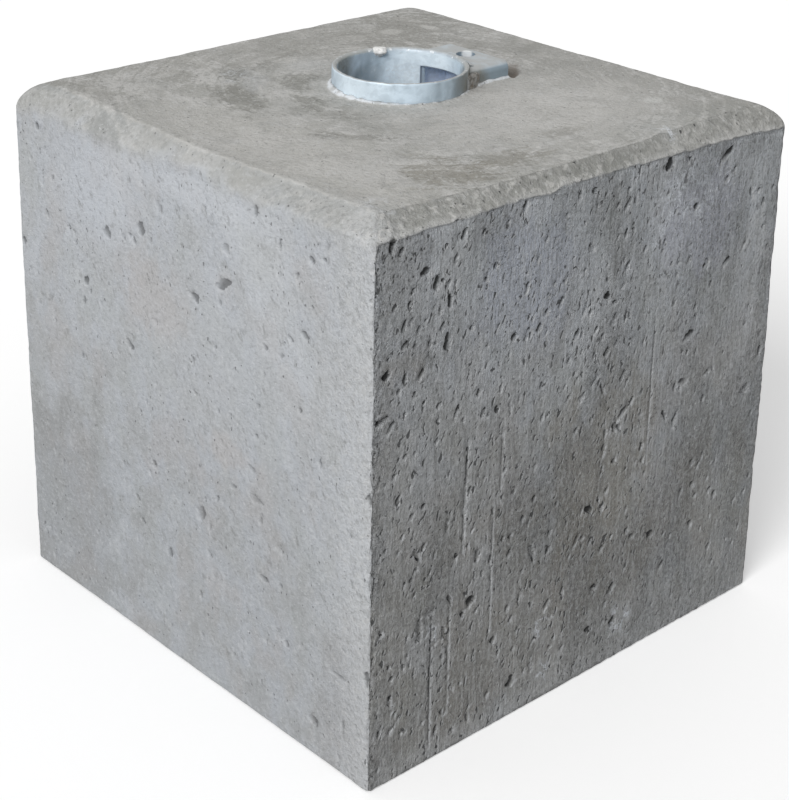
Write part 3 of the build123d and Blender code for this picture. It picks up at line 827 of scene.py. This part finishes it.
near_front = x.step(0.080, 0.145) * y.step(-0.120, -0.149)
rough_here = (1 - dragged) * near_front * 0.5 + torn_slope * 0.35
granules = place.noise(240.0, None, 2.0, 0.5, 0.5)
granular = torn_slope + near_front * 0.7 + capped * x.step(0.095, 0.125) * y.step(0.04, 0.0) * 0.5
# Pocks on the +X chamfer: small dents, painted dark within as painted shade
pocks = place.noise(250.0, 190.0, 1.0).step(0.72, 0.76) * torn_slope
crazed = 1 - abs(place.noise(95.0, None, 4.0, 0.6) - 0.5).step(0.0, 0.05)
streaked = dragged * (0.5 + torn_here * 0.5)
colour = overlaid(capped.mix(side_colour, cap_colour), (
    (near_front * (1 - dragged) * (0.25 + x.step(0.110, 0.148) * 0.30), PALE_MILK_AND_HIGHLIGHT),
    (hairs.step(0.52, 0.66) * dragged * 0.40, PALE_MILK_AND_HIGHLIGHT),
    (hairs.step(0.48, 0.34) * dragged * 0.36, DARK_TONE_AND_SHADE),
    (torn.step(0.51, 0.63) * (streaked * 0.55 + rough_here * 0.30), PALE_MILK_AND_HIGHLIGHT),
    (torn.step(0.47, 0.35) * (streaked * 0.70 + rough_here * 0.34), DARK_TONE_AND_SHADE),
    (grain.step(0.52, 0.66) * (0.26 + dragged * 0.10), PALE_MILK_AND_HIGHLIGHT),
    (grain.step(0.48, 0.34) * (0.28 + dragged * 0.10), DARK_TONE_AND_SHADE),
    (granules.step(0.54, 0.63) * granular * 0.26, GRANULE_PALE),
    (granules.step(0.45, 0.37) * granular * 0.30, CAP_DARK),
    # Painted shade in the pocks
    (pocks * 0.85, PIT_SHADE),
    # Painted highlight along the chamfer's crisp edges
    (ridge_lit * 0.38, RIDGE_HIGHLIGHT),
    # Painted shade in the spots' shallow dents
    (spots * 0.40, DARK_TONE_AND_SHADE),
    (scummed * (0.12 + crazed * 0.76), SCUM_WHITE),
    (flecks * 0.45, FLECK_WHITE),
    (crept.step(0.25, 0.6) * (0.35 + granules.step(0.36, 0.54) * 0.55), CREPT_CEMENT),
    (rusted * 0.85, RUST_STAIN),
    # Painted highlights on the lit rims of pits and slits, then painted shade within pits, slits and pores
    (rim_highlight * (0.35 + dragged * 0.6), PALE_MILK_AND_HIGHLIGHT),
    (slit_highlights * 0.55, PALE_MILK_AND_HIGHLIGHT),
    (shaded.step(0.02, 0.70) * (0.60 + dragged * 0.37), PIT_SHADE),
    (slits * 0.85, PIT_SHADE),
    (pores * 0.55, PIT_SHADE),
))

relief = grain * 0.9 + torn * (0.3 + rough_here * 1.5 + dragged * (3.0 + torn_here * 3.8))
relief = relief + hairs * dragged * 1.8
relief = relief - slits * 1.2 - pores * 0.6 - spots * 0.25 + crazed * scummed * 0.25 + blotches * capped * 1.2
relief = relief + granules * granular * 0.6 - pocks * 1.2
fill_sockets(shader, {"Base Color": colour, "Roughness": 0.92, "Normal": bumped(relief)})
block.data.materials.append(concrete)
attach(block, "root")
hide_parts("concrete_block")


# Ground sleeve
# Round tube that takes the post, with a window in its +Y wall for the post's latch.
# It was welded to the pocket and dipped in molten zinc, which left a soft, uneven skin and runs at the rim.
SLEEVE_WALL = 3.2
RIM_ROUND = 0.8
INNER_ROUND = 1.9
WINDOW_MIDDLE = sum(POCKET_SIDES) / 2
WINDOW_WIDTH, WINDOW_HEIGHT, WINDOW_BELOW_RIM = 39.0, 40.0, 10.5
WINDOW_COLUMNS, WALL_COLUMNS, WINDOW_ROWS = 30, 170, 32
RIM_LOW = 0.45

# Runs of zinc below the rim: degrees round, length and thickness
RUNS = (
    (-51.0, 2.6, 0.8), (-38.5, 1.8, 0.7), (-70.0, 1.2, 0.4),
    (-12.0, 1.5, 0.5), (20.0, 1.3, 0.4), (200.0, 1.8, 0.5),
)


def sleeve_angles(radius):
    """Angles of the columns at one radius: even steps of x across the window, even angles round the rest."""
    window = WINDOW_MIDDLE + WINDOW_WIDTH * np.linspace(0.5, -0.5, WINDOW_COLUMNS + 1)
    across = np.arccos(window / radius)
    rest = np.linspace(across[-1], across[0] + 2 * math.pi, WALL_COLUMNS + 1)[1:-1]
    return np.concatenate([across, rest])


window_top = RIM - WINDOW_BELOW_RIM
window_floor = window_top - WINDOW_HEIGHT
rim = RIM - RIM_LOW
wall_heights = np.concatenate([
    np.linspace(0, window_floor - 12, 14), [window_floor - 6],
    np.linspace(window_floor, window_top, WINDOW_ROWS + 1),
    np.linspace(window_top, rim - RIM_ROUND, 10)[1:],
])
bend = np.linspace(0, math.pi / 2, 5)[1:]
bore = SLEEVE_RADIUS - SLEEVE_WALL
across, up = 1 - np.cos(bend), 1 - np.sin(bend)
outer_bend = list(zip(SLEEVE_RADIUS - RIM_ROUND * across, rim - RIM_ROUND * up))
inner_bend = list(zip(bore + INNER_ROUND * across, rim - INNER_ROUND * up))[::-1]
lowered = (rim - INNER_ROUND - window_top) / (rim - RIM_ROUND - window_top)
inner_heights = np.minimum(wall_heights, window_top) + np.maximum(wall_heights - window_top, 0) * lowered
profile = [(SLEEVE_RADIUS, height) for height in wall_heights] + outer_bend + inner_bend
profile += [(bore, height) for height in inner_heights[::-1]]
radii, heights = np.array(profile).T
angles = np.stack([sleeve_angles(radius) for radius in radii])
across, up = np.cos(angles), np.sin(angles)
NOISE_RADIUS = 45
ring_place = at_height(NOISE_RADIUS * np.stack([across, up], -1), heights[:, None, None])
outward = np.where(radii > SLEEVE_RADIUS - SLEEVE_WALL / 2, 1.0, -1.0)[:, None]
SKIN_DEPTH = 0.12
SEEN_DEPTH = 60
skin = SKIN_DEPTH * layered_noise(ring_place, (14.0, 14.0, 8.0), 71, 3) - SKIN_DEPTH


def turned_from(degrees):
    """How far round each point of the tube is from an angle, either way."""
    return (angles - math.radians(degrees) + math.pi) % (2 * math.pi) - math.pi


swelling = np.zeros(angles.shape)
for run_angle, length, thickness in RUNS:
    hang = rise(heights[:, None], rim - length * 1.8, rim - 0.4)
    beside = turned_from(run_angle) * SLEEVE_RADIUS / (0.9 * length)
    swelling += thickness * hang * np.exp(-(beside**2)) * (outward > 0)
seen_wall = (heights > HEIGHT - SEEN_DEPTH)[:, None]
grown = radii[:, None] + outward * (skin + swelling) * seen_wall
rough_rim = 0.6 * smooth_noise(ring_place, 12.0, 75) + 0.4 * smooth_noise(ring_place, 3.4, 76)
lifted = heights[:, None] + RIM_LOW * rise(heights, rim - 1.6, rim)[:, None] * rough_rim
SLEEVE = np.stack([AXIS[0] + grown * across, AXIS[1] + grown * up, np.minimum(lifted, RIM - 0.02)], -1)

quads = ring_quads(len(SLEEVE), SLEEVE.shape[1], True)
first_row = int(np.flatnonzero(wall_heights == window_floor)[0])
row, column = quads[:, 0] // SLEEVE.shape[1], quads[:, 0] % SLEEVE.shape[1]
window_rows = range(first_row, first_row + WINDOW_ROWS)
beside_window = np.isin(row, window_rows) | np.isin(len(SLEEVE) - 2 - row, window_rows)
quads = quads[~(beside_window & (column < WINDOW_COLUMNS))]
loop = np.concatenate([
    [(first_row, c) for c in range(WINDOW_COLUMNS)],
    [(r, WINDOW_COLUMNS) for r in range(first_row, first_row + WINDOW_ROWS)],
    [(first_row + WINDOW_ROWS, c) for c in range(WINDOW_COLUMNS, 0, -1)],
    [(r, 0) for r in range(first_row + WINDOW_ROWS, first_row, -1)],
])
outside_loop = loop[:, 0] * SLEEVE.shape[1] + loop[:, 1]
inside_loop = (len(SLEEVE) - 1 - loop[:, 0]) * SLEEVE.shape[1] + loop[:, 1]
reveal = np.stack([outside_loop, np.roll(outside_loop, -1), np.roll(inside_loop, -1), inside_loop], -1)
sleeve = lay_piece("ground_sleeve", SLEEVE.reshape(-1, 3), np.concatenate([quads, reveal]))
smooth = np.arange(len(quads) + len(reveal)) < len(quads)
sleeve.data.polygons.foreach_set("use_smooth", smooth)

inside = (radii < SLEEVE_RADIUS - SLEEVE_WALL / 2)[:, None].astype(float)


def patch_round(degrees, spread):
    """A bell-shaped patch on the tube, 1 at an angle and falling away to both sides of it."""
    return np.exp(-((turned_from(degrees) / math.radians(spread)) ** 2))


on_face = 1 - inside
mottled = np.clip(0.5 + layered_noise(ring_place, (9.0, 9.0, 14.0), 78, 3), 0, 1)
# Painted light on the walls that face the lamp: inside the far wall and on the front of the outside
lit_zinc = inside * patch_round(112, 36) * 1.4 + on_face * patch_round(-82, 34) * 0.7
# Painted shade in dark olive inside the sleeve on its -X -Y side, and dirt with painted shade on the outside
# beside the +X weld
soil_and_shade = inside * patch_round(206, 17) * 1.3
soil_and_shade += on_face * (patch_round(41, 12) + patch_round(28, 22) * mottled * 0.8)
# Painted shade on the walls that face away from the lamp: inside on the -X side and outside on the +X side
shaded_zinc = inside * patch_round(182, 28) * (0.15 + 1.0 * mottled)
shaded_zinc += on_face * patch_round(14, 32) * (0.6 + 0.7 * mottled)
dusty = rise(heights[:, None], rim - 2.3, rim - 1.0) * (radii < SLEEVE_RADIUS - 0.45)[:, None]
jamb = np.zeros(angles.shape)
jamb[len(SLEEVE) - 1 - loop[:, 0], loop[:, 1]] = 1
marks = {"lit_zinc": lit_zinc, "soil_and_shade": soil_and_shade, "shaded_zinc": shaded_zinc, "dusty": dusty, "jamb": jamb}
for name, values in marks.items():
    mark(sleeve, name, np.clip(np.broadcast_to(values, angles.shape), 0, 1))

ZINC_BRIGHT = (0.660, 0.785, 0.890)
ZINC_DULL = (0.465, 0.565, 0.650)
# Frosty zinc, for specks and for the painted light where the zinc faces the lamp
ZINC_FROST_AND_LIGHT = (0.840, 0.935, 1.000)
# A dark blue-grey zinc, for random blotches and for painted shade on walls and sides that face away from the
# lamp
ZINC_SIDE = (0.215, 0.275, 0.320)
# A bright blue zinc, painted light for the inside of the pocket
ZINC_LIT_WITHIN = (0.780, 0.860, 1.000)
ZINC_SHADOW = (0.110, 0.140, 0.200)
RIM_DUST = (0.345, 0.360, 0.350)
RIM_BLUE = (0.400, 0.455, 0.510)
RIM_SPECK = (0.860, 0.890, 0.910)
DUST = (0.425, 0.432, 0.425)
# Dark olive soil, also used as painted shade
SOIL_AND_SHADE = (0.170, 0.160, 0.125)


def zinc_skin(name, dust, side_shade):
    """Weathered zinc: soft bright and darker clouds, frosty specks, dust on what faces up, dirt and painted
    shade by the weld.

    Painted light falls on the walls that face the lamp and inside the pocket, painted shade on the walls that
    face away, on the pocket's sides and along the window's edge.
    """
    material, shader, place = new_material(name)
    x, y, z = place.parts()
    cloud = place.noise(60.0, None, 4.0)
    speck = place.noise(480.0, None, 3.0, 0.6)
    lit_zinc, soil_and_shade, shaded_zinc, dusty, jamb = (place.attribute(kind) for kind in marks)
    facing_up = place.node("ShaderNodeNewGeometry", output="Normal").parts()[2].step(0.45, 0.85)
    near_weld = place.vector("DISTANCE", ((AXIS[0] + 27) * MM, (AXIS[1] + 27) * MM, HEIGHT * MM))
    low = 1 - (z + cloud * 0.004).step(0.3025, 0.3050)
    across_pocket = abs(x - (AXIS[0] + WINDOW_MIDDLE) * MM)
    inside = across_pocket.step(0.0232, 0.0228) * (y - (AXIS[1] + POCKET_END - 2) * MM).step(0.0002, 0.0)
    inside = inside * (z - (POCKET_TOP - 3.2) * MM).step(0.0002, 0.0)
    dusted = 0.72 + place.noise(260.0, None, 2.0).step(0.35, 0.65) * 0.28
    colour = overlaid(cloud.step(0.36, 0.62).mix(ZINC_DULL, ZINC_BRIGHT), (
        # Painted light where the zinc faces the lamp
        (lit_zinc * (0.55 + cloud * 0.5), ZINC_FROST_AND_LIGHT),
        (speck.step(0.62, 0.74) * (0.15 + shaded_zinc * 0.6), ZINC_FROST_AND_LIGHT),
        (place.noise(150.0, None, 4.0, 0.6, 0.5).step(0.52, 0.40) * 0.15, ZINC_SIDE),
        # Painted shade where the zinc faces away from the lamp
        (shaded_zinc * 0.75, ZINC_SIDE),
        ((1 - facing_up) * side_shade, ZINC_SIDE),
        # Painted light: the inside of the pocket, seen through the window, is painted brighter and bluer
        (inside * (side_shade > 0), ZINC_LIT_WITHIN),
        # Dirt and painted shade inside the sleeve on its -X -Y side and in the crevice between sleeve and
        # pocket
        (soil_and_shade * (0.40 + speck * 0.7), SOIL_AND_SHADE),
        ((1 - near_weld.step(0.009, 0.017)) * (0.35 + speck * 0.7), SOIL_AND_SHADE),
        (low * speck.step(0.35, 0.65) * 0.20, DUST),
        # Dust on the rim, painted bluer as painted light where the rim faces the lamp
        (dusty * dusted, lit_zinc.mix(RIM_DUST, RIM_BLUE)),
        (dusty * place.noise(330.0, None, 1.0).step(0.60, 0.66) * 0.7, RIM_SPECK),
        (jamb.step(0.45, 0.95) * 0.8, ZINC_SHADOW),
        (facing_up * (0.75 + place.noise(110.0).step(0.35, 0.6) * 0.25) * dust, DUST),
    ))
    relief = cloud * 0.4 + speck * 0.15
    rough = cloud * 0.15 + 0.42 + facing_up * dust * 0.25
    looks = {"Base Color": colour, "Metallic": 0.2, "Roughness": rough, "Normal": bumped(relief)}
    fill_sockets(shader, looks)
    return material, shader, colour


sleeve.data.materials.append(zinc_skin("galvanised_zinc", 0.7, 0.0)[0])
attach(sleeve, "root")
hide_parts("sleeve_tube")


# Latch pocket
# A stub of hollow section, coped to the sleeve, its far end closed by a plate, dipped with the sleeve.
# Cement dust lies on its flat top, and the lit far wall of its vent hole is painted near white as a highlight.
VENT_HIGHLIGHT_PLACE = (-7.3, 59.6, 308.8)
VENT_HIGHLIGHT_RADIUS = 3.8
VENT_HIGHLIGHT_WHITE = (0.880, 0.900, 0.900)
pocket_zinc, shader, colour = zinc_skin("dusty_zinc", 0.95, 0.9)
# Painted highlight: near white in the vent hole, where its far wall catches the light
from_vent_highlight = colour.node("ShaderNodeTexCoord", output="Object")
from_vent_highlight = from_vent_highlight.vector("DISTANCE", tuple(MM * n for n in VENT_HIGHLIGHT_PLACE))
vent_lit = 1 - from_vent_highlight.step(VENT_HIGHLIGHT_RADIUS * 0.55 * MM, VENT_HIGHLIGHT_RADIUS * MM)
fill_sockets(shader, {"Base Color": (vent_lit * 0.9).mix(colour, VENT_HIGHLIGHT_WHITE)})
for name in ("latch_pocket", "pocket_end_plate", "top_pocket_weld"):
    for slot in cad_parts[name].material_slots:
        slot.material = pocket_zinc


# Side welds
# One upright run each side of the pocket, in the corner between its wall and the sleeve, laid in ripples.
# The zinc is rough and dirty there, and slurry and rust have collected in the corner.
RIPPLE, RIPPLE_DEPTH = 3.1, 0.08
WELD_CROWN = 0.8
WELD_END, WELD_END_ROUND = 2.0, 2.5
FACE_POINTS = 15
WELD_DIRT = (0.130, 0.122, 0.105)
WELD_GREY = (0.340, 0.335, 0.320)
WELD_RUST = (0.230, 0.185, 0.140)
WELD_ZINC = (0.400, 0.420, 0.435)


def end_fans(rows, columns):
    """Triangles that close a tube of rings, whose two end points are kept after the points of its rings."""
    around = np.arange(columns)
    onward, last = (around + 1) % columns, (rows - 1) * columns
    first_fan = np.stack([np.full(columns, rows * columns), onward, around], -1)
    last_fan = np.stack([np.full(columns, rows * columns + 1), last + around, last + onward], -1)
    return np.concatenate([first_fan, last_fan])


def weld_run(name, node, wall_x, seed):
    """A bead between two toes: its face bulges in ripples up the run's height, its back lies in the steel."""
    wall_toe, tube_toe = weld_toes(wall_x)
    side = np.sign(wall_x)
    hidden_height = np.linspace(POCKET_FLOOR + WELD_END, HEIGHT - 8, 12)
    height = np.concatenate([hidden_height, np.linspace(HEIGHT - 7, POCKET_TOP - WELD_END, 34)])
    t = np.linspace(0, 1, FACE_POINTS)
    chord = tube_toe - wall_toe
    out = np.array([-chord[1], chord[0]]) / np.linalg.norm(chord) * side
    end = np.minimum(height - height[0], height[-1] - height)[:, None]
    shrink = np.sqrt(np.clip(1 - (1 - np.clip(end / WELD_END_ROUND, 0, 1)) ** 2, 0.05, 1))
    ripple = RIPPLE_DEPTH * np.cos(2 * math.pi * height / RIPPLE)[:, None]
    bulge = (WELD_CROWN + ripple - 0.3) * 4 * t * (1 - t) * shrink
    face = wall_toe + chord * t[:, None]
    face = face[None] + out * bulge[..., None]
    corner = np.array([wall_x - side * 1.0, math.sqrt(SLEEVE_RADIUS**2 - wall_x**2) - 1.0])
    face = corner + (face - corner) * (0.55 + 0.45 * shrink)[..., None]
    back = corner + (np.stack([tube_toe, wall_toe]) * 0.97 - corner) * 0.5
    ring = np.concatenate([face, np.broadcast_to(back, (len(height), 2, 2))], 1)
    points = at_height(ring + AXIS, height[:, None, None])
    inner = slice(1, FACE_POINTS - 1)
    points[:, inner, :2] += out * (0.35 * layered_noise(points[:, inner], 2.4, seed, 3))[..., None]
    if side > 0:
        points = points[:, ::-1]
    rows, columns = points.shape[:2]
    ends = np.stack([points[0].mean(0), points[-1].mean(0)])
    points = np.concatenate([points.reshape(-1, 3), ends])
    piece = lay_piece(name, points, ring_quads(rows, columns, False), end_fans(rows, columns))
    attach(piece, "root")
    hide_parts(node)
    return piece


dirty_weld, shader, place = new_material("dirty_weld")
speck = place.noise(420.0, None, 4.0, 0.65)
patch = place.noise(170.0, None, 3.0)
colour = overlaid(speck.step(0.36, 0.62).mix(WELD_DIRT, WELD_GREY), (
    (patch.step(0.54, 0.64) * 0.5, WELD_RUST),
    (patch.step(0.47, 0.37) * 0.7, WELD_ZINC),
))
fill_sockets(shader, {"Base Color": colour, "Roughness": 0.8, "Normal": bumped(speck * 0.9 + patch * 1.0)})
for name, node, wall_x, seed in (
    ("right_weld_run", "right_pocket_weld", POCKET_SIDES[1], 81),
    ("left_weld_run", "left_pocket_weld", POCKET_SIDES[0], 84),
):
    weld_run(name, node, wall_x, seed).data.materials.append(dirty_weld)


# Mortar crumb
# A pale lump of mortar that fell on the sleeve's rim, on its -X side, and dried there.
# It hangs over both edges of the rim.
CRUMB_ANGLE = 157.0
CRUMB_MIDDLE_Z = 309.7
CRUMB_INSET = 2.5
CRUMB_SIZES = (4.0, 3.7, 3.0)
CRUMB_ROWS, CRUMB_COLUMNS = 15, 36
MORTAR_GREY = (0.620, 0.620, 0.600)
MORTAR_PALE = (0.920, 0.920, 0.910)
turning, rising = np.meshgrid(
    np.arange(CRUMB_COLUMNS) / CRUMB_COLUMNS * 2 * math.pi,
    np.linspace(-math.pi / 2, math.pi / 2, CRUMB_ROWS + 2),
)
ball = np.stack([np.cos(rising) * np.cos(turning), np.cos(rising) * np.sin(turning), np.sin(rising)], -1)
ball *= 1 + 0.20 * layered_noise(ball * 3, 1.6, 91, 3)[..., None]
ball = ball * CRUMB_SIZES
along_rim, from_middle = math.radians(CRUMB_ANGLE + 90), math.radians(CRUMB_ANGLE)
out_from_axis = ball[..., 1] + SLEEVE_RADIUS - CRUMB_INSET
crumb_x = ball[..., 0] * math.cos(along_rim) + out_from_axis * math.cos(from_middle)
crumb_y = ball[..., 0] * math.sin(along_rim) + out_from_axis * math.sin(from_middle)
crumb_z = np.minimum(ball[..., 2] + CRUMB_MIDDLE_Z, RIM - 0.05)
crumb = np.stack([AXIS[0] + crumb_x, AXIS[1] + crumb_y, crumb_z], -1)[:, ::-1]
crumb = np.concatenate([crumb[1:-1].reshape(-1, 3), crumb[[0, -1], 0]])
grid = (CRUMB_ROWS, CRUMB_COLUMNS)
crumb = lay_piece("mortar_crumb", crumb, ring_quads(*grid, False), end_fans(*grid))
mortar, shader, place = new_material("pale_mortar")
colour = place.noise(500.0, None, 3.0).step(0.3, 0.65).mix(MORTAR_GREY, MORTAR_PALE)
fill_sockets(shader, {"Base Color": colour, "Roughness": 0.9})
crumb.data.materials.append(mortar)
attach(crumb, "root")


# Floor and light
# A plain pale floor that keeps the block's shadow, and a white surround.
# One broad lamp stands high on the -Y side, so the side towards +X is in shade.
FLOOR_HALF = 6000.0
floor = lay_piece(
    "floor",
    np.array([(-1.0, -1.0, 0.0), (1.0, -1.0, 0.0), (1.0, 1.0, 0.0), (-1.0, 1.0, 0.0)]) * FLOOR_HALF,
    np.array([[0, 1, 2, 3]]),
)
FLOOR_LIFT = 0.22
FLOOR_SEEN, FLOOR_GREY = (0.93, 0.93, 0.93), (0.42, 0.42, 0.42)
WHITE = (1.0, 1.0, 1.0)


def rays_of_sight(tree):
    """Signals that are 1 for rays straight from the lens and for mirrored rays."""
    return [add_node(tree, "ShaderNodeLightPath", output=kind) for kind in ("Is Camera Ray", "Is Glossy Ray")]


material = bpy.data.materials.new("pale_floor")
material.use_nodes = True
tree = material.node_tree
tree.nodes.clear()
seen, mirrored = rays_of_sight(tree)
matt_seen = add_node(tree, "ShaderNodeBsdfDiffuse", None, {"Color": FLOOR_SEEN})
lifting = add_node(tree, "ShaderNodeEmission", None, {"Color": WHITE, "Strength": FLOOR_LIFT})
bright = add_node(tree, "ShaderNodeAddShader", None, {0: matt_seen, 1: lifting})
matt = add_node(tree, "ShaderNodeBsdfDiffuse", None, {"Color": FLOOR_GREY})
either = seen.math("MAXIMUM", seen, mirrored)
whole = add_node(tree, "ShaderNodeMixShader", None, {0: either, 1: matt, 2: bright})
fill_sockets(tree.nodes.new("ShaderNodeOutputMaterial"), {"Surface": whole})
floor.data.materials.append(material)
floor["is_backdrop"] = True

SKY_LEVEL = 0.50
world = bpy.data.worlds.new("surround")
bpy.context.scene.world = world
world.use_nodes = True
tree = world.node_tree
seen, mirrored = rays_of_sight(tree)
level = seen.math("MAXIMUM", seen, mirrored * 0.9) * (1 - SKY_LEVEL) + SKY_LEVEL
fill_sockets(tree.nodes["Background"], {"Color": WHITE, "Strength": level})

LAMP_LEVEL = 2.1
LAMP_SPREAD = 28.0
LAMP_FROM = Vector((0.27, -0.82, 0.55))
lamp = bpy.data.lights.new("window_light", "SUN")
lamp.energy = LAMP_LEVEL
lamp.angle = math.radians(LAMP_SPREAD)
lamp_object = bpy.data.objects.new("window_light", lamp)
lamp_object.rotation_euler = LAMP_FROM.to_track_quat("Z", "Y").to_euler()
bpy.context.scene.collection.objects.link(lamp_object)

bpy.context.scene.view_settings.view_transform = "Standard"

sizes = {"cad": [list(corner) for corner in cad_bounds], "visual": [list(corner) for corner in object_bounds()]}
